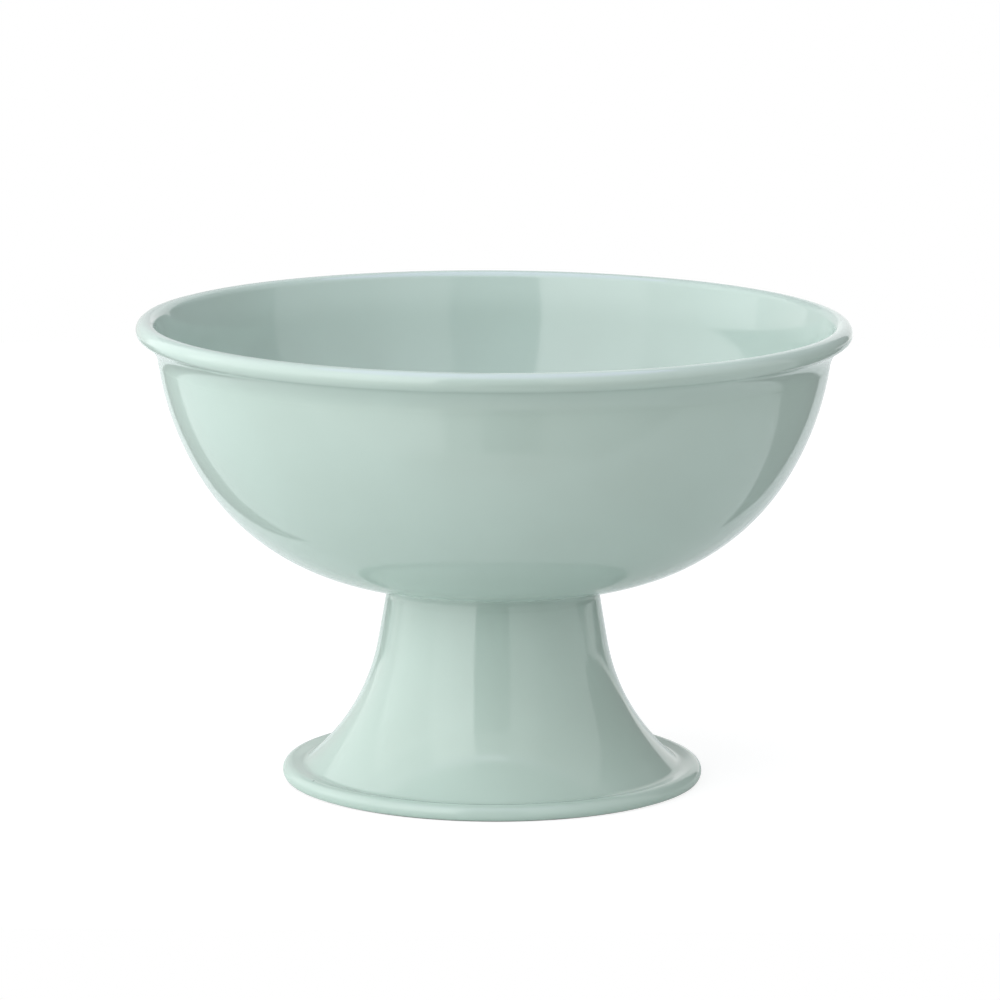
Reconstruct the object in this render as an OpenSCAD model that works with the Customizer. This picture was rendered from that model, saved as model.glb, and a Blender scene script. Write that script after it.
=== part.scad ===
// Footed ice cream cup of enamelled sheet steel: a drawn bowl spot-welded onto a flared hollow foot.
// Millimetres, +Z up. The cup stands on z = 0 and its axis is the Z axis.
// Each piece is a half section, drawn as distance from the axis and height, and turned about the axis.
// Sizes marked as finished are taken over the enamel.

/* [Overall] */
// Finished diameter over the curled rim
rim_d = 120; // [112:0.5:128]
// Height from the standing edge to the top of the rim
cup_h = 78.25; // [74:0.05:84]
// Finished diameter over the curled edge of the foot
foot_d = 71; // [66:0.2:76]
// Height of the deck on top of the foot, where the bowl is welded on
deck_h = 32.2; // [28:0.1:35]

/* [Sheet and enamel] */
// Thickness of the steel sheet
steel_t = 0.7; // [0.5:0.05:0.75]
// Thickness of each coat of enamel
enamel_t = 0.2; // [0.1:0.05:0.25]

/* [Bowl] */
// How far the rim stands out past the wall below it
rim_overhang = 3.2; // [3:0.05:3.6]
// Finished radius of the upper wall's curve
wall_r = 50; // [47:0.5:53]
// Finished radius of the belly's curve
belly_r = 38.6; // [35:0.2:42]
// Slope of the side where the belly's curve meets the wall's, from upright
belly_turn = 31; // [24:1:38]
// Finished diameter of the rim's curl
rim_curl_d = 3.3; // [3:0.05:3.6]
// Angle at which the curl ends, below the level of its centre
rim_curl_end = -120; // [-123:1:-90]
// Angle inside the curl at which the outside coat of enamel ends
rim_coat_end = 150; // [120:1:150]
// Height of the lip, from where the wall turns out to the top of the rim
lip_h = 6.6; // [6.2:0.1:7.2]
// Radius of the bend that turns the wall out into the lip
lip_bend = 11; // [6:0.5:12]

/* [Neck] */
// Finished diameter of the foot at the height of its deck
neck_d = 35.8; // [32:0.2:40]
// Depth of the groove round the neck
groove_w = 0.1; // [0.05:0.05:0.15]
// Height of the groove, from the deck up to the belly
groove_h = 1.55; // [1.55:0.05:2.5]
// Inside radius of the bend round the bowl's seat
seat_bend = 0.4; // [0.3:0.05:0.4]
// Radius between the neck and the belly
belly_fillet = 0.4; // [0.3:0.05:0.4]
// Inside radius of the bend round the foot's deck
deck_bend = 0.4; // [0.3:0.05:0.6]
// Where the seam's enamel ends on that bend, from level
seam_angle = 18; // [17:1:28]

/* [Foot] */
// Slope of the upper foot, from upright
cone_slope = 9.9; // [6:0.1:12]
// Height at which the foot starts to flare
flare_h = 23.3; // [18:0.1:27]
// Width of the brim, from the end of the flare to the edge
brim_w = 4.15; // [4:0.05:5]
// Height of the brim, where the flare ends
brim_h = 2.7; // [2.5:0.05:3]
// Radius of the cove between the flare and the curl
cove_r = 1.2; // [1:0.05:1.4]
// Finished diameter of the foot's curl
foot_curl_d = 3; // [2.8:0.05:3.2]
// Angle at which that curl ends, below the level of its centre
foot_curl_end = -135; // [-145:1:-120]
// Width of the flat ring that the cup stands on
stand_w = 1; // [0.6:0.05:1.4]
// Height of the edge up to which the standing edge is wiped bare of enamel
wipe_h = 0.25; // [0.15:0.05:0.5]

/* [Welds] */
// Number of spot welds
weld_count = 4; // [3:1:8]
// Diameter of a spot weld
weld_d = 4.5; // [3:0.1:6]
// Height of a spot weld, half in each sheet
weld_h = 0.8; // [0.4:0.05:0.9]
// Diameter of the circle that the spot welds lie on
weld_circle_d = 20; // [16:0.5:24]

/* [Hidden] */

// Facets of a full turn in the preview
turn_facets = 180;
// Largest distance between an arc and its chords
chord_gap = 0.01;
// Coarsest step along an arc, in degrees
coarse_step = 12;
// Points nearer than this are one point
same_point = 0.001;

steel_color = "dimgray";
weld_color = "silver";
enamel_color = [0.72, 0.82, 0.77];

// Faces of the sheet, by their distance out from the steel's outer face
outer_coat = enamel_t;
inner_steel = -steel_t;
inner_coat = -steel_t - enamel_t;

// Which way is out, to the right or to the left of a line that starts on the axis
bowl_side = 1;
foot_side = -1;

// The rim: its curl, whose inside is the steel's outer face rolled up
rim_curl_r = rim_curl_d / 2;
rim_curl_c = [rim_d / 2 - rim_curl_r, cup_h - rim_curl_r];
rim_curl_in = rim_curl_r - enamel_t - steel_t;

// The side: two curves that run into each other without a break
side_step = wall_r - belly_r;
wall_c_x = rim_d / 2 - rim_overhang - wall_r;
belly_c = [wall_c_x + side_step * cos(belly_turn), deck_h + groove_h + belly_r];
wall_c = [wall_c_x, belly_c.y + side_step * sin(belly_turn)];

// The lip: the wall bends out, runs straight and goes into the curl
wall_steel_r = wall_r - enamel_t;
lip_z = cup_h - lip_h;
wall_end = lip_z < wall_c.y ? asin((wall_c.y - lip_z) / wall_steel_r) : 0;
lip_foot = [wall_c.x + wall_steel_r * cos(wall_end), lip_z];
lip_c = lip_foot + lip_bend * [cos(wall_end), -sin(wall_end)];
lip_reach = rim_curl_c - lip_c;
lip_run = direction(lip_reach) + asin((rim_curl_in - lip_bend) / norm(lip_reach));

// The neck: the bowl's seat stands on the foot's deck, inside its edge
neck_r = neck_d / 2 - groove_w;
seat_r = neck_r - enamel_t;
seat_corner = seat_bend + steel_t;
seat_c = [seat_r - seat_corner, deck_h + seat_corner];
fillet_reach = belly_r + belly_fillet;
fillet_x = neck_r + belly_fillet;
fillet_lean = asin(max(0, fillet_x - belly_c.x) / fillet_reach);
fillet_c = [fillet_x, belly_c.y - fillet_reach * cos(fillet_lean)];

// The foot's deck bends down into a cone
cone_out = [cos(cone_slope), sin(cone_slope)];
deck_corner = deck_bend + steel_t;
deck_back = deck_corner * (1 - sin(cone_slope)) + enamel_t;
deck_c = [neck_d / 2 - deck_back / cos(cone_slope), deck_h - deck_corner];

// The flare: an arc that leaves the cone without a break and ends at the brim
flare_top = [neck_d / 2 + (deck_h - flare_h) * tan(cone_slope), flare_h];
brim = [foot_d / 2 - brim_w, brim_h];
flare_chord = brim - flare_top;
flare_r = (flare_chord * flare_chord) / (2 * flare_chord * cone_out);
flare_c = flare_top + flare_r * cone_out;
flare_end = 360 + direction(brim - flare_c);

// The edge: a cove leads from the flare up onto the curl, which is flattened to stand on
foot_curl_r = foot_curl_d / 2;
foot_steel_r = foot_curl_r - enamel_t;
foot_curl_c = [foot_d / 2 - foot_curl_r, sqrt(foot_steel_r ^ 2 - (stand_w / 2) ^ 2)];
cove_c = polar(brim, cove_r, flare_end - 180);
cove_reach = foot_curl_c - cove_c;
brim_run = direction(cove_reach) + asin((foot_curl_r + cove_r) / norm(cove_reach));
wipe_end = asin((wipe_h - foot_curl_c.y) / foot_curl_r);

// The seam: a hollow fillet from the neck onto the bend of the deck
deck_coat_r = deck_corner + enamel_t;
seam_r = (deck_c.x + deck_coat_r * cos(seam_angle) - neck_r) / (1 - cos(seam_angle));
seam_c = polar(deck_c, deck_coat_r + seam_r, seam_angle);

// Bends of each sheet, from the axis to its curled edge.
// A bend is its centre, its radius on the steel's outer face, and the angles where it starts and ends.
bowl_bends = [
    [seat_c, seat_corner, -90, 0],
    [fillet_c, belly_fillet + enamel_t, 180, 90 + fillet_lean],
    [belly_c, belly_r - enamel_t, fillet_lean - 90, -belly_turn],
    [wall_c, wall_steel_r, -belly_turn, -wall_end],
    [lip_c, lip_bend, 180 - wall_end, 90 + lip_run],
    [rim_curl_c, rim_curl_in, 90 + lip_run, rim_coat_end],
    [rim_curl_c, rim_curl_in, rim_coat_end, rim_curl_end]
];
foot_bends = [
    [deck_c, deck_corner, 90, seam_angle],
    [deck_c, deck_corner, seam_angle, cone_slope],
    [flare_c, flare_r + enamel_t, 180 + cone_slope, flare_end],
    [cove_c, cove_r + enamel_t, flare_end, 270 + brim_run],
    [foot_curl_c, foot_steel_r, 90 + brim_run, wipe_end],
    [foot_curl_c, foot_steel_r, wipe_end, foot_curl_end]
];

// Direction of a vector, in degrees
function direction(v) = atan2(v.y, v.x);

// Point at a distance and an angle from a centre
function polar(c, r, a) = c + r * [cos(a), sin(a)];

// Items of a list from one place to another
function part_of(list, first, last) = [for (i = [first:last]) list[i]];

// A list from its end to its start
function backwards(list) = [for (i = [len(list) - 1:-1:0]) list[i]];

// Points on an arc, close enough together to follow a radius
function arc(c, r, a0, a1, step_r) =
    let (step = min(coarse_step, 2 * acos(1 - chord_gap / step_r)))
    let (n = ceil(abs(a1 - a0) / step))
    [for (i = [0:n]) polar(c, r, a0 + (a1 - a0) * i / n)];

// Line along one face of a sheet, at a distance out from the steel's outer face
function face(bends, side, out) =
    let (points = [
        for (b = bends)
            each arc(b[0], b[1] + side * sign(b[3] - b[2]) * out, b[2], b[3], b[1])
    ])
    [for (i = [0:len(points) - 1]) if (i == 0 || norm(points[i] - points[i - 1]) > same_point) points[i]];

// A face's line, led level from the axis to its first point
function from_axis(line) = concat([[0, line[0].y]], line);

// A solid turned about the axis from a closed half section
module turned(points) {
    rotate_extrude($fn = turn_facets) polygon(points);
}

// A layer between two faces of a sheet
module layer(outer_line, inner_line) {
    turned(concat(outer_line, backwards(inner_line)));
}

// The weld nuggets, through the joint between seat and deck
module nuggets() {
    for (i = [0:weld_count - 1])
        rotate(i * 360 / weld_count)
            translate([weld_circle_d / 2, 0, deck_h - weld_h / 2])
                cylinder(d = weld_d, h = weld_h, $fn = 48);
}

// What lies under the surface that the cup stands on
module ground() {
    translate([0, 0, -foot_curl_d])
        cylinder(d = foot_d + foot_curl_d, h = foot_curl_d, $fn = turn_facets);
}

module bowl_shell() {
    color(steel_color)
        difference() {
            layer(
                from_axis(face(bowl_bends, bowl_side, 0)),
                from_axis(face(bowl_bends, bowl_side, inner_steel))
            );
            nuggets();
        }
}

module foot_shell() {
    color(steel_color)
        difference() {
            layer(
                from_axis(face(foot_bends, foot_side, 0)),
                from_axis(face(foot_bends, foot_side, inner_steel))
            );
            nuggets();
            ground();
        }
}

module weld_spots() {
    color(weld_color) nuggets();
}

// The inside coat runs from the bottom of the bowl over the rim to the end of its curl
module bowl_inside_enamel() {
    color(enamel_color)
        layer(
            from_axis(face(bowl_bends, bowl_side, inner_steel)),
            from_axis(face(bowl_bends, bowl_side, inner_coat))
        );
}

// The outside coat runs from the neck up the lip and just into the curl, which covers its edge
module bowl_outside_enamel() {
    coated = part_of(bowl_bends, 1, 5);
    color(enamel_color)
        layer(
            face(coated, bowl_side, outer_coat),
            face(coated, bowl_side, 0)
        );
}

// The foot's outside coat runs from the neck over its curl to the wiped standing edge
module foot_outside_enamel() {
    coated = part_of(foot_bends, 1, 4);
    color(enamel_color)
        layer(
            face(coated, foot_side, outer_coat),
            face(coated, foot_side, 0)
        );
}

module foot_inside_enamel() {
    coated = part_of(foot_bends, 0, 3);
    color(enamel_color)
        layer(
            from_axis(face(coated, foot_side, inner_steel)),
            from_axis(face(coated, foot_side, inner_coat))
        );
}

// The seam fills the corner between the bowl's seat and the foot's deck
module seam_enamel() {
    seat_corner_line = face(part_of(bowl_bends, 0, 0), bowl_side, 0);
    deck_corner_line = face(part_of(foot_bends, 0, 0), foot_side, 0);
    color(enamel_color)
        turned(concat(
            seat_corner_line,
            [[seat_r, fillet_c.y], [neck_r, fillet_c.y]],
            arc(seam_c, seam_r, 180, 180 + seam_angle, seam_r),
            backwards(deck_corner_line)
        ));
}

bowl_shell();
foot_shell();
weld_spots();
bowl_inside_enamel();
bowl_outside_enamel();
foot_outside_enamel();
foot_inside_enamel();
seam_enamel();
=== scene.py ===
# %% [markdown]
# An ice cream cup of enamelled sheet steel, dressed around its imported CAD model.
# The cup is a drawn bowl, welded onto a flared hollow foot, with a glassy coat of pale mint enamel fired
# onto both sides. The steel pieces keep their CAD meshes. The enamel carries the whole look, so its five
# coats are made again here as fine, smooth skins. They lie where the CAD puts them, to within a few
# hundredths of a millimetre, apart from the glaze that ran together at the rim.

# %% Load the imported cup
import math

import bmesh
import bpy
import numpy as np
from mathutils import Matrix, Vector


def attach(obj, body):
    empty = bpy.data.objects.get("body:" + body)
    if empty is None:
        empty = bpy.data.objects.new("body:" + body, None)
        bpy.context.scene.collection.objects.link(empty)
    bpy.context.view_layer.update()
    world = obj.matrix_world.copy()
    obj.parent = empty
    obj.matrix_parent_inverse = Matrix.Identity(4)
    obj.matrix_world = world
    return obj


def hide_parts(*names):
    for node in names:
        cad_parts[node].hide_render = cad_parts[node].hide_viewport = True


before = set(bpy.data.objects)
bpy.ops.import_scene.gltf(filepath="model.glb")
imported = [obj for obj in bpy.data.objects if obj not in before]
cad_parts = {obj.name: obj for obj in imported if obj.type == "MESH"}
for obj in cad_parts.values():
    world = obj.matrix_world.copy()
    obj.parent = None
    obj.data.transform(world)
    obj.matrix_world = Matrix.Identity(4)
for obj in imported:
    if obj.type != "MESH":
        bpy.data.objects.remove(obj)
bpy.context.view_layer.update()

scene = bpy.context.scene
print("CAD nodes:", sorted(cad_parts))

# %% [markdown]
# Every length below is in millimetres and every angle in degrees, as on a drawing, and Blender works in
# metres and radians. A colour is written as the sRGB hex value that a colour picker shows, and the shaders
# need it as linear light, so one function turns it. One more function adds a shader node: a value goes onto
# the socket, and a socket is linked.

# %% Units, colours and nodes
MM = 0.001


def linear(hex_colour):
    """Linear RGBA of an sRGB hex colour."""
    parts = [int(hex_colour[i:i + 2], 16) / 255 for i in (1, 3, 5)]
    light = [p / 12.92 if p <= 0.04045 else ((p + 0.055) / 1.055) ** 2.4 for p in parts]
    return (*light, 1.0)


def add_node(tree, kind, inputs=None, **settings):
    """A new node with its settings, and with each input set to a value or linked to a socket."""
    made = tree.nodes.new(kind)
    for name, value in settings.items():
        setattr(made, name, value)
    for socket, value in (inputs or {}).items():
        if isinstance(value, bpy.types.NodeSocket):
            tree.links.new(value, made.inputs[socket])
        else:
            made.inputs[socket].default_value = value
    return made


def empty_material(name):
    """A new material with no nodes in it yet."""
    made = bpy.data.materials.new(name)
    made.use_nodes = True
    made.node_tree.nodes.clear()
    return made


print("white in linear light:", linear("#ffffff"))

# %% [markdown]
# The camera comes first, because every later look is judged through it. The cup was seen from about a metre
# away through a long lens, ten degrees above level, so its ellipses are flat and its sides hardly converge.
# A long lens at that distance gives the same view here. The picture is a little off centre and a little
# tilted, and moving and rolling the camera does the same without touching the cup.

# %% Camera
LENS = 207.9
SENSOR = 36.0
CAMERA_DISTANCE = 972.5
CAMERA_FAR = 50_000
CAMERA_RISE = math.radians(10.238)
AIM_HEIGHT = 47.37
AIM_ASIDE = 1.1
CAMERA_ROLL = math.radians(0.3)

aim = Vector((AIM_ASIDE, 0, AIM_HEIGHT)) * MM
back = Vector((0, -math.cos(CAMERA_RISE), math.sin(CAMERA_RISE)))
camera = bpy.data.objects.new("camera", bpy.data.cameras.new("camera"))
scene.collection.objects.link(camera)
camera.data.lens = LENS
camera.data.sensor_width = SENSOR
camera.data.clip_end = CAMERA_FAR * MM
camera.location = aim + back * CAMERA_DISTANCE * MM
camera.rotation_mode = "QUATERNION"
upright = (-back).to_track_quat("-Z", "Y")
camera.rotation_quaternion = upright @ Matrix.Rotation(CAMERA_ROLL, 3, "Z").to_quaternion()
scene.camera = camera
print("camera at", [round(c, 3) for c in camera.location])

# %% [markdown]
# The cup is round, so half a section says everything about it. These are its sizes, taken over the finished
# enamel: the bowl's side is two arcs that run into each other, its lip turns out into a curled rim, and the
# foot is a short cone that flares into a brim with a curled edge.

# %% Sizes of the cup
RIM_D = 120
CUP_H = 78.25
FOOT_D = 71
DECK_H = 32.2
STEEL_T = 0.7
ENAMEL_T = 0.2
RIM_OVERHANG = 3.2
WALL_R = 50
BELLY_R = 38.6
BELLY_TURN = 31
RIM_CURL_R = 3.3 / 2
RIM_CURL_END = -120
RIM_COAT_END = 150
LIP_H = 6.6
LIP_BEND = 11
NECK_R = 35.8 / 2
GROOVE_W = 0.1
GROOVE_H = 1.55
SEAT_BEND = 0.4
BELLY_FILLET = 0.4
DECK_BEND = 0.4
SEAM_ANGLE = 18
CONE_SLOPE = 9.9
FLARE_H = 23.3
BRIM_W = 4.15
BRIM_H = 2.7
COVE_R = 1.2
FOOT_CURL_R = 3 / 2
STAND_W = 1
# The foot's outside coat stops this high, so the dark bare steel below it is painted shade where the foot
# meets the table
BARE_EDGE_H = 0.25

# Faces of the sheet, by their distance out from the steel's outer face
OUTER_COAT = ENAMEL_T
INNER_STEEL = -STEEL_T
INNER_COAT = -STEEL_T - ENAMEL_T
print("the sheet with both coats is", round(OUTER_COAT - INNER_COAT, 2), "mm thick")

# %% [markdown]
# A sheet metal part is drawn as its bends: each is a centre, a radius on the steel's outer face, and the
# angles where it starts and ends. The straight runs between bends need no numbers of their own, because they
# are just the lines from the end of one bend to the start of the next. The working below finds where each
# arc touches the next, so that no line has a corner in it.

# %% Points and directions
def sin(degrees):
    return math.sin(math.radians(degrees))


def cos(degrees):
    return math.cos(math.radians(degrees))


def asin(ratio):
    return math.degrees(math.asin(ratio))


def polar(centre, radius, degrees):
    """The point at a distance and an angle from a centre."""
    return np.array([centre[0] + radius * cos(degrees), centre[1] + radius * sin(degrees)])


def direction(vector):
    """The angle that a vector points at."""
    return math.degrees(math.atan2(vector[1], vector[0]))


print("one unit at 30 degrees ends at", polar((0, 0), 1, 30).round(3))

# %% Bends of the bowl
side_step = WALL_R - BELLY_R
wall_x = RIM_D / 2 - RIM_OVERHANG - WALL_R
belly_c = np.array([wall_x + side_step * cos(BELLY_TURN), DECK_H + GROOVE_H + BELLY_R])
wall_c = np.array([wall_x, belly_c[1] + side_step * sin(BELLY_TURN)])
wall_steel_r = WALL_R - ENAMEL_T
rim_c = np.array([RIM_D / 2 - RIM_CURL_R, CUP_H - RIM_CURL_R])
rim_in = RIM_CURL_R - ENAMEL_T - STEEL_T


def rim_bends(lip_h, lip_bend):
    """The wall, the lip that starts so far below the rim, and the curl in two parts."""
    wall_end = asin((wall_c[1] - CUP_H + lip_h) / wall_steel_r)
    lip_c = polar(wall_c, wall_steel_r + lip_bend, -wall_end)
    reach = rim_c - lip_c
    lip_end = 90 + direction(reach) + asin((rim_in - lip_bend) / np.linalg.norm(reach))
    return [
        (wall_c, wall_steel_r, -BELLY_TURN, -wall_end),
        (lip_c, lip_bend, 180 - wall_end, lip_end),
        (rim_c, rim_in, lip_end, RIM_COAT_END),
        (rim_c, rim_in, RIM_COAT_END, RIM_CURL_END),
    ]


groove_r = NECK_R - GROOVE_W
seat_r = groove_r - ENAMEL_T
seat_corner = SEAT_BEND + STEEL_T
seat_c = np.array([seat_r - seat_corner, DECK_H + seat_corner])
fillet_reach = BELLY_R + BELLY_FILLET
fillet_lean = asin((groove_r + BELLY_FILLET - belly_c[0]) / fillet_reach)
fillet_c = polar(belly_c, fillet_reach, fillet_lean - 90)

seat_arc = (seat_c, seat_corner, -90, 0)
fillet_arc = (fillet_c, BELLY_FILLET + ENAMEL_T, 180, 90 + fillet_lean)
belly_arc = (belly_c, BELLY_R - ENAMEL_T, fillet_lean - 90, -BELLY_TURN)
wall_arc, lip_arc, curl_arc, curl_end_arc = rim_bends(LIP_H, LIP_BEND)
bowl_bends = [seat_arc, fillet_arc, belly_arc, wall_arc, lip_arc, curl_arc, curl_end_arc]
BOWL_SIDE = 1
print("the bowl has", len(bowl_bends), "bends")

# %% Bends of the foot
cone_out = np.array([cos(CONE_SLOPE), sin(CONE_SLOPE)])
deck_corner = DECK_BEND + STEEL_T
deck_back = deck_corner * (1 - sin(CONE_SLOPE)) + ENAMEL_T
deck_c = np.array([NECK_R - deck_back / cos(CONE_SLOPE), DECK_H - deck_corner])

flare_top = np.array([NECK_R + (DECK_H - FLARE_H) * sin(CONE_SLOPE) / cos(CONE_SLOPE), FLARE_H])
brim = np.array([FOOT_D / 2 - BRIM_W, BRIM_H])
flare_chord = brim - flare_top
flare_r = flare_chord @ flare_chord / (2 * flare_chord @ cone_out)
flare_c = flare_top + flare_r * cone_out
flare_end = 360 + direction(brim - flare_c)

foot_steel_r = FOOT_CURL_R - ENAMEL_T
curl_c = np.array([FOOT_D / 2 - FOOT_CURL_R, math.sqrt(foot_steel_r ** 2 - (STAND_W / 2) ** 2)])
cove_c = polar(brim, COVE_R, flare_end - 180)
cove_reach = curl_c - cove_c
brim_run = direction(cove_reach) + asin((FOOT_CURL_R + COVE_R) / np.linalg.norm(cove_reach))
bare_edge_end = asin((BARE_EDGE_H - curl_c[1]) / FOOT_CURL_R)

foot_bends = [
    (deck_c, deck_corner, 90, SEAM_ANGLE),
    (deck_c, deck_corner, SEAM_ANGLE, CONE_SLOPE),
    (flare_c, flare_r + ENAMEL_T, 180 + CONE_SLOPE, flare_end),
    (cove_c, COVE_R + ENAMEL_T, flare_end, 270 + brim_run),
    (curl_c, foot_steel_r, 90 + brim_run, bare_edge_end),
]
FOOT_SIDE = -1
print("the flare's radius is", round(flare_r, 1), "mm")

# %% [markdown]
# A coat is the space between two faces of the sheet: the face that shows and the face that is fused to the
# steel. Each is a line along the same bends at its own distance out. Gloss shows every flat spot, so the
# points lie at most three degrees apart on a bend, and at most half a millimetre apart everywhere.

# %% Lines along the faces of a sheet
FINE_TURN = 3.0
FINE_RUN = 0.5
SAME_POINT = 1e-4


def arc(centre, radius, start, end):
    """Points along an arc, both ends included."""
    length = radius * math.radians(abs(end - start))
    steps = max(math.ceil(abs(end - start) / FINE_TURN), math.ceil(length / FINE_RUN))
    return [polar(centre, radius, start + (end - start) * i / steps) for i in range(steps + 1)]


def face_line(bends, side, out):
    """The line along one face of a sheet, at a distance out from the steel's outer face.

    The side is 1 where out is to the right of the line as it runs, and -1 where it is to the left.
    """
    line = []
    for centre, radius, start, end in bends:
        line += arc(centre, radius + side * math.copysign(out, (end - start) * out), start, end)
    return line


def from_axis(line):
    """A line led level from the axis to its first point."""
    return [np.array([0.0, line[0][1]]), *line]


def filled(line):
    """A line with its long runs divided and its double points left out."""
    points = [line[0]]
    for point in line[1:]:
        run = np.linalg.norm(point - points[-1])
        if run > SAME_POINT:
            last = points[-1]
            steps = math.ceil(run / FINE_RUN)
            points += [last + (point - last) * i / steps for i in range(1, steps + 1)]
    return points


print("the lip's bend has", len(arc(*lip_arc)), "points")

# %% [markdown]
# Fired enamel is never dead flat: it flows as it melts, over sheet that was pressed and welded, and its
# reflections wander a little. A bump map could hint at that, but real height moves reflections and outline
# alike, so the shown face gets slow waves about a hundredth of a millimetre deep. They are a sum of sines in
# seeded directions, which is smooth everywhere and the same on every run. A soft limit keeps them below
# the face that the CAD gives, and the whole face is laid a little deeper still, because the flat facets of
# the CAD's mesh lie just inside its round form. So the cup stays inside its size.

# %% Slow waves in the glaze
WAVE_SEED = 11
WAVE_HEIGHT = 0.010
WAVE_SHORTEST = 9.0
WAVE_LONGEST = 30.0
WAVE_COUNT = 14
WAVE_FADE = 5.0
WAVE_DEPTH = 0.025

draw = np.random.default_rng(WAVE_SEED)
wave_ways = draw.normal(size=(WAVE_COUNT, 3))
wave_ways /= np.linalg.norm(wave_ways, axis=1)[:, None]
wave_lengths = draw.uniform(WAVE_SHORTEST, WAVE_LONGEST, WAVE_COUNT)
wave_starts = draw.uniform(0, 2 * math.pi, WAVE_COUNT)


def wave_height(points):
    """Height of the glaze's waves at points in millimetres, never above zero."""
    phases = points @ (wave_ways / wave_lengths[:, None] * 2 * math.pi).T + wave_starts
    free = WAVE_HEIGHT * np.sin(phases).sum(1) / math.sqrt(WAVE_COUNT / 2)
    return (free - np.hypot(free, WAVE_HEIGHT)) / 2 - WAVE_DEPTH


def wave_shown_face(mesh, rings, points):
    """Moves the shown face's points along their normals by the waves, which fade out at its two ends."""
    normals = np.zeros(len(points) * 3)
    mesh.vertex_normals.foreach_get("vector", normals)
    normals = normals.reshape(-1, 3)
    line = np.array([points[ring[0]] for ring in rings])
    run = np.concatenate([[0], np.linalg.norm(np.diff(line, axis=0), axis=1).cumsum()])
    for place, ring in enumerate(rings):
        fade = min(run[place], run[-1] - run[place], WAVE_FADE) / WAVE_FADE
        depth = wave_height(points[ring]) * fade * fade * (3 - 2 * fade)
        points[ring] += depth[:, None] * normals[ring]
    mesh.vertices.foreach_set("co", (points * MM).ravel())
    mesh.update()


print("waves", wave_lengths.min().round(1), "to", wave_lengths.max().round(1), "mm long")

# %% [markdown]
# A skin is its closed half section, turned about the axis. Blender's Spin tool or Screw modifier would turn
# it too. Writing the rings out keeps each point's place in the section known, which the waves need, and a
# point on the axis becomes one vertex and not a ring of them.

# %% Turning a section into a skin
TURNS = 360
SHARP = math.radians(40)


def spun_skin(name, shown, bonded):
    """A closed skin, turned about Z, from the line that shows and the line on the steel, in millimetres."""
    shown_points = filled(shown)
    section = np.array(shown_points + filled(bonded)[::-1])
    turn = np.linspace(0, 2 * math.pi, TURNS, endpoint=False)
    rings = []
    points = []
    for radius, height in section:
        count = 1 if radius < SAME_POINT else TURNS
        rings.append(np.arange(count) + len(points))
        circle = turn[:count]
        ring = [radius * np.cos(circle), radius * np.sin(circle), np.full(count, height)]
        points += np.stack(ring, 1).tolist()
    faces = []
    for here, there in zip(rings, rings[1:] + rings[:1]):
        for i in range(TURNS):
            j = (i + 1) % TURNS
            corners = [here[i % len(here)], here[j % len(here)], there[j % len(there)], there[i % len(there)]]
            corner_set = list(dict.fromkeys(int(c) for c in corners))
            if len(corner_set) > 2:
                faces.append(corner_set)
    mesh = bpy.data.meshes.new(name)
    mesh.from_pydata([[c * MM for c in p] for p in points], [], faces)
    work = bmesh.new()
    work.from_mesh(mesh)
    bmesh.ops.recalc_face_normals(work, faces=work.faces)
    work.to_mesh(mesh)
    work.free()
    wave_shown_face(mesh, rings[:len(shown_points)], np.array(points))
    mesh.shade_smooth()
    mesh.set_sharp_from_angle(angle=SHARP)
    skin = bpy.data.objects.new(name, mesh)
    scene.collection.objects.link(skin)
    print(name, "has", len(points), "points and", len(faces), "faces")
    return skin


print("a skin has", TURNS, "points in each ring")

# %% [markdown]
# Vitreous enamel is powdered glass, sprayed or dipped onto the steel and melted into a coat about a fifth of
# a millimetre thick. It is opaque, evenly coloured and as glossy as glass, with an index of refraction near
# 1.5 and hardly any roughness. The colour drifts a little where the coat is thicker, the gloss is broken by
# a faint skin, and here and there a speck of ground coat or a gas pit shows through.

# %% Material of the enamel
ENAMEL = "#b2c5bd"
ENAMEL_THIN = "#afc1b9"
ENAMEL_SPECK = "#6f7f78"
ENAMEL_IOR = 1.5
ENAMEL_ROUGHNESS = 0.08
DRIFT_SIZE = 22 * MM
DRIFT_DETAIL = 2.0
DRIFT_LOW = 0.3
DRIFT_HIGH = 0.7
SPECK_SPACING = 14 * MM
SPECK_RADIUS = 0.16 * MM
SPECK_FADED = 1.6 * SPECK_RADIUS

enamel = empty_material("vitreous_enamel_mint")
tree = enamel.node_tree
place = add_node(tree, "ShaderNodeTexCoord").outputs["Object"]
drift = add_node(
    tree,
    "ShaderNodeTexNoise",
    {"Vector": place, "Scale": 1 / DRIFT_SIZE, "Detail": DRIFT_DETAIL},
)
drift_spread = add_node(
    tree,
    "ShaderNodeMapRange",
    {"Value": drift.outputs["Fac"], "From Min": DRIFT_LOW, "From Max": DRIFT_HIGH},
)
tone = add_node(
    tree,
    "ShaderNodeMix",
    {"Factor": drift_spread.outputs["Result"], "A": linear(ENAMEL), "B": linear(ENAMEL_THIN)},
    data_type="RGBA",
)
speck_cells = add_node(
    tree,
    "ShaderNodeTexVoronoi",
    {"Vector": place, "Scale": 1 / SPECK_SPACING},
)
speck = add_node(
    tree,
    "ShaderNodeMapRange",
    {
        "Value": speck_cells.outputs["Distance"],
        "From Min": SPECK_RADIUS / SPECK_SPACING,
        "From Max": SPECK_FADED / SPECK_SPACING,
        "To Min": 1.0,
        "To Max": 0.0,
    },
)
print("one speck to about", round(SPECK_SPACING / MM), "mm of glaze")

# %% Shader of the enamel
SKIN_SIZE = 2.2 * MM
SKIN_DETAIL = 3.0
SKIN_HEIGHT = 0.002 * MM

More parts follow.
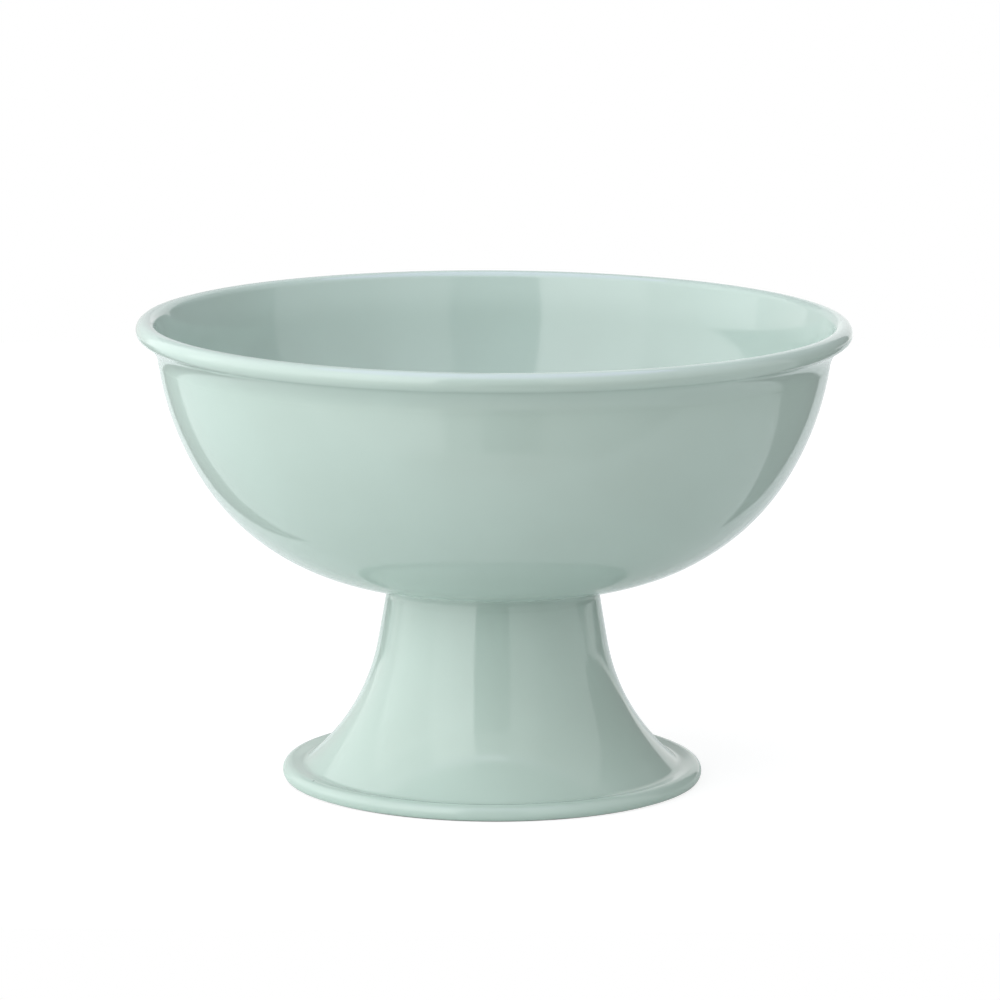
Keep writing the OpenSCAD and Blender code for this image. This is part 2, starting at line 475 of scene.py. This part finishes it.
speckled = add_node(
    tree,
    "ShaderNodeMix",
    {"Factor": speck.outputs["Result"], "A": tone.outputs["Result"], "B": linear(ENAMEL_SPECK)},
    data_type="RGBA",
)
skin_grain = add_node(
    tree,
    "ShaderNodeTexNoise",
    {"Vector": place, "Scale": 1 / SKIN_SIZE, "Detail": SKIN_DETAIL},
)
skin_bump = add_node(
    tree,
    "ShaderNodeBump",
    {"Height": skin_grain.outputs["Fac"], "Strength": 1.0, "Distance": SKIN_HEIGHT},
)
enamel_shader = add_node(
    tree,
    "ShaderNodeBsdfPrincipled",
    {
        "Base Color": speckled.outputs["Result"],
        "Roughness": ENAMEL_ROUGHNESS,
        "IOR": ENAMEL_IOR,
        "Normal": skin_bump.outputs["Normal"],
    },
)
add_node(tree, "ShaderNodeOutputMaterial", {"Surface": enamel_shader.outputs["BSDF"]})
print("enamel has", len(tree.nodes), "nodes")

# %% [markdown]
# Five coats dress the cup. The bowl's inside coat runs on over the rim and round its curl, as the real glaze
# does, so that the rim has no line on it. The outside coat ends under the curl, and melted glaze draws
# together there into a small hollow fillet, as solder does in a joint. It also evens out the bend of the lip
# inside. The steel has neither, so both are made here. The foot has one coat outside and one inside, and a
# last bead of glaze fills the seam where the bowl was welded to the foot.

# %% Glaze that ran together at the rim
CURL_FILLET = 5
GLAZED_LIP_H = 7.705
GLAZED_LIP_BEND = 30

lip_c, lip_r, lip_start, lip_end = lip_arc
to_lip = lip_r - ENAMEL_T - CURL_FILLET
to_curl = RIM_CURL_R + CURL_FILLET
span = rim_c - lip_c
lip_cosine = (to_lip ** 2 + span @ span - to_curl ** 2) / (2 * to_lip * np.linalg.norm(span))
lip_touch = direction(span) + math.degrees(math.acos(lip_cosine))
curl_fillet_c = polar(lip_c, to_lip, lip_touch)
curl_touch = direction(curl_fillet_c - rim_c)
lip_to_fillet = (lip_c, lip_r, lip_start, lip_touch)
fillet_face = face_line([fillet_arc, belly_arc, wall_arc, lip_to_fillet], BOWL_SIDE, OUTER_COAT)
fillet_face += arc(curl_fillet_c, CURL_FILLET, lip_touch, 180 + curl_touch)

lip_out = polar((0, 0), 1, lip_end - 180)
lip_up = polar((0, 0), 1, lip_end - 90)
coat_gap = rim_in - ENAMEL_T
gap_end = rim_c - coat_gap * lip_out - RIM_CURL_R * lip_up
coat_end = polar(rim_c, coat_gap, RIM_COAT_END)
fillet_back = [coat_end, gap_end, *arc(rim_c, RIM_CURL_R, RIM_CURL_END, curl_touch - FINE_TURN)]
print("the lip bends from", round(lip_start, 1), "to", round(lip_end, 1), "degrees")
print("the fillet leaves it at", round(lip_touch, 1), "and meets the curl at", round(curl_touch, 1))

# %% The five coats of enamel
glazed_lip = rim_bends(GLAZED_LIP_H, GLAZED_LIP_BEND)
seat_line = face_line([seat_arc], BOWL_SIDE, 0.0)
deck_line = face_line(foot_bends[:1], FOOT_SIDE, 0.0)
deck_coat_r = deck_corner + ENAMEL_T
seam_r = (deck_c[0] + deck_coat_r * cos(SEAM_ANGLE) - groove_r) / (1 - cos(SEAM_ANGLE))
seam_c = polar(deck_c, deck_coat_r + seam_r, SEAM_ANGLE)
seam_top = np.array([groove_r, fillet_c[1]])
seat_top = np.array([seat_r, fillet_c[1]])

coats = {
    "bowl_inside_enamel": (
        from_axis(face_line([seat_arc, fillet_arc, belly_arc, *glazed_lip], BOWL_SIDE, INNER_COAT)),
        from_axis(face_line(bowl_bends, BOWL_SIDE, INNER_STEEL)),
    ),
    "bowl_outside_enamel": (
        fillet_face,
        face_line(bowl_bends[1:-1], BOWL_SIDE, 0.0) + fillet_back,
    ),
    "foot_outside_enamel": (
        face_line(foot_bends[1:], FOOT_SIDE, OUTER_COAT),
        face_line(foot_bends[1:], FOOT_SIDE, 0.0),
    ),
    "foot_inside_enamel": (
        from_axis(face_line(foot_bends[:-1], FOOT_SIDE, INNER_COAT)),
        from_axis(face_line(foot_bends[:-1], FOOT_SIDE, INNER_STEEL)),
    ),
    "seam_enamel": (
        [seam_top, *arc(seam_c, seam_r, 180, 180 + SEAM_ANGLE)],
        [seat_top, *seat_line[::-1], *deck_line],
    ),
}
for node_name, (shown, bonded) in coats.items():
    coat = spun_skin(node_name.replace("enamel", "glaze"), shown, bonded)
    coat.data.materials.append(enamel)
    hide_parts(node_name)
    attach(coat, "root")

# %% [markdown]
# The pressed sheet shows only at the standing edge, below the foot's outside coat, which stops a quarter of a
# millimetre above the table: a dull dark line under the foot, which is also painted shade where the foot
# meets the table. Low-carbon steel out of the furnace has a dark scale on it, so it reflects like a rough
# dark
# metal, with cloudy patches a few millimetres wide. The weld nuggets are cleaner metal, closed in between
# the sheets.

# %% Materials of the steel
SCALE_DARK = "#4a4846"
SCALE_LIGHT = "#7d7a76"
SCALE_SIZE = 3 * MM
SCALE_ROUGHNESS = 0.55
WELD_DARK = "#8c8d8f"
WELD_LIGHT = "#b5b6b8"
WELD_SIZE = 0.8 * MM
WELD_ROUGHNESS = 0.4
CLOUD_DETAIL = 4.0
CLOUD_RELIEF = 0.01 * MM
RELIEF_STRENGTH = 0.3


def steel_material(name, dark, light, size, roughness):
    """Bare steel with cloudy patches of two tones."""
    made = empty_material(name)
    nodes = made.node_tree
    spot = add_node(nodes, "ShaderNodeTexCoord").outputs["Object"]
    clouds = add_node(
        nodes,
        "ShaderNodeTexNoise",
        {"Vector": spot, "Scale": 1 / size, "Detail": CLOUD_DETAIL},
    )
    colour = add_node(
        nodes,
        "ShaderNodeMix",
        {"Factor": clouds.outputs["Fac"], "A": linear(dark), "B": linear(light)},
        data_type="RGBA",
    )
    bump = add_node(
        nodes,
        "ShaderNodeBump",
        {"Height": clouds.outputs["Fac"], "Strength": RELIEF_STRENGTH, "Distance": CLOUD_RELIEF},
    )
    shader = add_node(
        nodes,
        "ShaderNodeBsdfPrincipled",
        {
            "Base Color": colour.outputs["Result"],
            "Metallic": 1.0,
            "Roughness": roughness,
            "Normal": bump.outputs["Normal"],
        },
    )
    add_node(nodes, "ShaderNodeOutputMaterial", {"Surface": shader.outputs["BSDF"]})
    return made


fired_steel = steel_material("fired_sheet_steel", SCALE_DARK, SCALE_LIGHT, SCALE_SIZE, SCALE_ROUGHNESS)
weld_steel = steel_material("weld_nugget_steel", WELD_DARK, WELD_LIGHT, WELD_SIZE, WELD_ROUGHNESS)
for node_name, metal in (
    ("bowl_shell", fired_steel),
    ("foot_shell", fired_steel),
    ("weld_spots", weld_steel),
):
    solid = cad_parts[node_name].data
    solid.materials.clear()
    solid.materials.append(metal)
print("steel on", sorted(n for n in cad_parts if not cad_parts[n].hide_render))

# %% [markdown]
# Glossy white tableware is photographed in a light tent: white cloth all round, lit from outside, with a
# slit for the lens. The cloth lights the cup softly and is also what the glaze mirrors. Lamps could light
# it too, but the glaze would show each as a spot. So the tent is made as it stands: curved walls of glowing
# cloth at four levels, the slit, and a dark card behind to the right. The camera doesn't see the tent, only
# its light. Bearings are to the right of the camera, from the cup.

# %% Pieces of the stage
CLOTH_WHITE = "#ffffff"


def glowing_cloth(name, colour, strength):
    """Cloth that glows evenly."""
    made = empty_material(name)
    glow = add_node(
        made.node_tree,
        "ShaderNodeEmission",
        {"Color": linear(colour), "Strength": strength},
    )
    add_node(made.node_tree, "ShaderNodeOutputMaterial", {"Surface": glow.outputs["Emission"]})
    return made


def stage_mesh(name, points, faces, material):
    """A piece of the stage, which isn't part of the cup."""
    mesh = bpy.data.meshes.new(name)
    mesh.from_pydata([[c * MM for c in p] for p in points], [], faces)
    mesh.materials.append(material)
    made = bpy.data.objects.new(name, mesh)
    scene.collection.objects.link(made)
    return made


def unseen_cloth(name, points, faces, colour, strength):
    """A glowing piece of the stage that the camera doesn't see."""
    made = stage_mesh(name, points, faces, glowing_cloth(name, colour, strength))
    made.visible_camera = False
    return made


print("cloth of", CLOTH_WHITE, "glows as", linear(CLOTH_WHITE))

# %% Strips and rounds of cloth
CLOTH_STEP = 4


def around(bearing, radius, height):
    """The point at a bearing, a distance from the axis and a height."""
    return (radius * sin(bearing), -radius * cos(bearing), height)


def spread(start, end, steps):
    """Bearings from the start to the end in even steps."""
    return [start + (end - start) * i / steps for i in range(steps + 1)]


def cloth_strip(name, start, end, edges, colour, strength):
    """Cloth between two bearings, from one edge to the other, each a distance and a height."""
    steps = math.ceil((end - start) / CLOTH_STEP)
    points = [around(b, radius, height) for b in spread(start, end, steps) for radius, height in edges]
    faces = [(2 * i, 2 * i + 2, 2 * i + 3, 2 * i + 1) for i in range(steps)]
    return unseen_cloth(name, points, faces, colour, strength)


def cloth_disc(name, radius, height, colour, strength):
    """A level round of cloth."""
    points = [around(b, radius, height) for b in range(0, 360, CLOTH_STEP)]
    return unseen_cloth(name, points, [tuple(range(len(points)))], colour, strength)


print("a quarter turn of cloth is at", spread(0, 90, 3), "degrees")

# %% Walls of the light tent
TENT_R = 700
TENT_LOW = -500
TENT_TOP = 1100

tent_levels = [("low", TENT_LOW, 20), ("middle", 20, 330), ("high", 330, 700), ("top", 700, TENT_TOP)]
# Name, first and last bearing, and how strongly the cloth glows at each level
tent_walls = [
    ("lens_slit_left", -17.5, -4, (0.5, 0.25, 0.35, 0.9)),
    ("lens_slit", -4, 17, (0.05, 0.25, 0.35, 0.9)),
    ("right_front_cloth", 17, 45, (0.5, 1.1, 1.2, 1.15)),
    ("right_cloth", 45, 106, (0.5, 0.95, 0.95, 0.9)),
    ("dark_card", 106, 152, (1.0, 0.25, 0.35, 0.5)),
    ("back_right_cloth", 152, 180, (1.2, 1.1, 1.0, 1.0)),
    ("back_left_cloth", 180, 219, (0.75, 0.8, 0.45, 0.45)),
    ("left_back_cloth", 219, 250, (1.5, 1.45, 1.5, 1.4)),
    ("left_cloth", 250, 300, (1.4, 2.25, 2.0, 1.5)),
    ("left_front_cloth", 300, 342.5, (1.2, 2.6, 2.7, 2.4)),
]
for wall_name, start, end, strengths in tent_walls:
    for (level, low, high), strength in zip(tent_levels, strengths):
        wall_edges = ((TENT_R, low), (TENT_R, high))
        cloth_strip(wall_name + "_" + level, start, end, wall_edges, CLOTH_WHITE, strength)
print("tent of", len(tent_walls), "walls at", len(tent_levels), "levels")

# %% [markdown]
# The roof is what the bowl's inside looks up at. It is cloth too, brighter towards the left and the front,
# with the faint violet that the light from above has on the cup. It could be one disc, but the glaze shows
# where the light is, so it is cut into sectors. The ground closes the tent far below the table, so that
# nothing outside shows in the glaze.

# %% Roof and ground of the tent
ROOF_INNER = 250
ROOF_CENTRE_GLOW = 1.5
GROUND_GLOW = 0.8
ROOF_CLOTH = "#f3efff"

# Name, first and last bearing, and how strongly the cloth glows
roof_sectors = [
    ("roof_front", -17, 17, 2.2),
    ("roof_right", 17, 108, 1.2),
    ("roof_back_right", 108, 180, 0.5),
    ("roof_back_left", 180, 265, 1.3),
    ("roof_left", 265, 343, 2.0),
]
roof_edges = ((ROOF_INNER, TENT_TOP), (TENT_R, TENT_TOP))
for name, start, end, strength in roof_sectors:
    cloth_strip(name, start, end, roof_edges, ROOF_CLOTH, strength)
cloth_disc("roof_centre", ROOF_INNER, TENT_TOP, ROOF_CLOTH, ROOF_CENTRE_GLOW)
cloth_disc("tent_ground", TENT_R, TENT_LOW, CLOTH_WHITE, GROUND_GLOW)
print("roof of", len(roof_sectors) + 1, "cloths")

# %% [markdown]
# The bead of the rim mirrors a cooler, violet light from high up, as from a window over the tent. A lamp
# there would tint the whole inside of the bowl. So the window is a disc just under the roof that only mirror
# reflections see: it lights nothing else and throws no shadow.

# %% Window over the tent
SKY_R = 600
SKY_DROP = 5
SKY_GLOW = 2.7
SKY_LIGHT = "#d6c6ff"

sky = cloth_disc("sky", SKY_R, TENT_TOP - SKY_DROP, SKY_LIGHT, SKY_GLOW)
sky.visible_diffuse = False
sky.visible_shadow = False
print("window of", 2 * SKY_R, "mm across")

# %% [markdown]
# The cup stands on a white table. Matt white alone would come out grey here, and more light would bleach the
# cup. So what the camera sees of the table is white by its own glow, and a share of real light on top lets
# the cup's soft shadow show. The glaze mirrors the table as it is lit, with a little glow. Seen from below
# it is clear, and it has a round hole inside the standing edge that lets light into the foot, so that the
# underside can be looked at.

# %% White of the table
TABLE_GLOW = 0.8
TABLE_SHADE = 0.3
MIRROR_GLOW = 0.15
TABLE_WHITE = "#d9e0dd"

table_white = empty_material("white_table")
tree = table_white.node_tree
path = add_node(tree, "ShaderNodeLightPath")
seen = add_node(
    tree,
    "ShaderNodeMath",
    {0: path.outputs["Is Camera Ray"], 1: path.outputs["Is Transmission Ray"]},
    operation="MAXIMUM",
)
shade = add_node(tree, "ShaderNodeBsdfDiffuse", {"Color": (TABLE_SHADE, TABLE_SHADE, TABLE_SHADE, 1)})
glow = add_node(tree, "ShaderNodeEmission", {"Color": linear(CLOTH_WHITE), "Strength": TABLE_GLOW})
shown_white = add_node(tree, "ShaderNodeAddShader", {0: shade.outputs["BSDF"], 1: glow.outputs["Emission"]})
bounce = add_node(tree, "ShaderNodeBsdfDiffuse", {"Color": linear(TABLE_WHITE)})
sheen = add_node(tree, "ShaderNodeEmission", {"Color": linear(CLOTH_WHITE), "Strength": MIRROR_GLOW})
mirrored = add_node(tree, "ShaderNodeAddShader", {0: bounce.outputs["BSDF"], 1: sheen.outputs["Emission"]})
unseen = add_node(
    tree,
    "ShaderNodeMixShader",
    {0: path.outputs["Is Glossy Ray"], 1: bounce.outputs["BSDF"], 2: mirrored.outputs["Shader"]},
)
top = add_node(
    tree,
    "ShaderNodeMixShader",
    {0: seen.outputs[0], 1: unseen.outputs["Shader"], 2: shown_white.outputs["Shader"]},
)
clear = add_node(tree, "ShaderNodeBsdfTransparent")
sides = add_node(
    tree,
    "ShaderNodeMixShader",
    {
        0: add_node(tree, "ShaderNodeNewGeometry").outputs["Backfacing"],
        1: top.outputs["Shader"],
        2: clear.outputs["BSDF"],
    },
)
add_node(tree, "ShaderNodeOutputMaterial", {"Surface": sides.outputs["Shader"]})
print("the table's white has", len(tree.nodes), "nodes")

# %% Top of the table
TABLE = (-480, 480, -105, 480)
TABLE_HOLE = 33

left, right, front, rear = TABLE
to_corners = [direction((-y, x)) % 360 for x in (left, right) for y in (front, rear)]
bearings = sorted([*range(0, 360, CLOTH_STEP), *to_corners])
points = [around(b, TABLE_HOLE, 0) for b in bearings]
for bearing in bearings:
    to_x, to_y, _ = around(bearing, 1, 0)
    reach_x = (right if to_x > 0 else left) / (to_x or SAME_POINT)
    reach_y = (rear if to_y > 0 else front) / (to_y or SAME_POINT)
    points.append(around(bearing, min(abs(reach_x), abs(reach_y)), 0))
count = len(bearings)
faces = [(i, count + i, count + (i + 1) % count, (i + 1) % count) for i in range(count)]
table = stage_mesh("table", points, faces, table_white)
print("the table has", len(table.data.polygons), "faces round its hole")

# %% [markdown]
# White ware on white loses its edges, so dark cards are put beside it, just out of the picture, and the glaze
# mirrors them as soft dark lines. Two cards lie on the table behind the cup, a grey one on the left and a
# dark one on the right, and another dark one stands to the right. The lying cards show in mirror reflections
# only, because they would leave grey patches on the table otherwise.

# %% Cards that lie on the table
CARD_LIFT = 0.3
CARD_LENGTH = 400
CARD_STEPS = 4

# Name, nearest corner, first and last bearing from there, and how strongly the card glows
lying_cards = [
    ("dark_card_lying", (72, 28), 105, 150, 0.2),
    ("grey_card_lying", (-57, 0), -160, -139, 0.3),
]
for name, corner, start, end, strength in lying_cards:
    far_edge = [around(b, CARD_LENGTH, 0) for b in spread(start, end, CARD_STEPS)]
    points = [(*corner, CARD_LIFT)]
    points += [(corner[0] + x, corner[1] + y, CARD_LIFT) for x, y, _ in far_edge]
    card = unseen_cloth(name, points, [tuple(range(len(points)))], CLOTH_WHITE, strength)
    card.visible_diffuse = False
    card.visible_shadow = False
print("cards that lie:", [name for name, *_ in lying_cards])

# %% Card that stands on the right
STANDING_CARD = ((179, 23), (165, 110))
STANDING_HEIGHTS = (30, 200)
STANDING_GLOW = 0.25

points = [(x, y, z) for x, y in STANDING_CARD for z in STANDING_HEIGHTS]
unseen_cloth("dark_card_standing", points, [(0, 2, 3, 1)], CLOTH_WHITE, STANDING_GLOW)
print("a card stands from", STANDING_HEIGHTS[0], "to", STANDING_HEIGHTS[1], "mm above the table")

# %% [markdown]
# The camera sees past the table's edge and through the cloth, which is hidden from it. A backdrop could stand
# there, but a plain white room is simpler and even all over. The tent closes the room off from the cup, so
# the room adds no light to it. The Standard view shows each colour about as it is written.

# %% White room outside the tent
ROOM_GLOW = 1.0

world = bpy.data.worlds.new("white_room")
world.use_nodes = True
tree = world.node_tree
tree.nodes.clear()
room = add_node(tree, "ShaderNodeBackground", {"Color": linear(CLOTH_WHITE), "Strength": ROOM_GLOW})
add_node(tree, "ShaderNodeOutputWorld", {"Surface": room.outputs["Background"]})
scene.world = world
scene.view_settings.view_transform = "Standard"
print("the view is", scene.view_settings.view_transform)
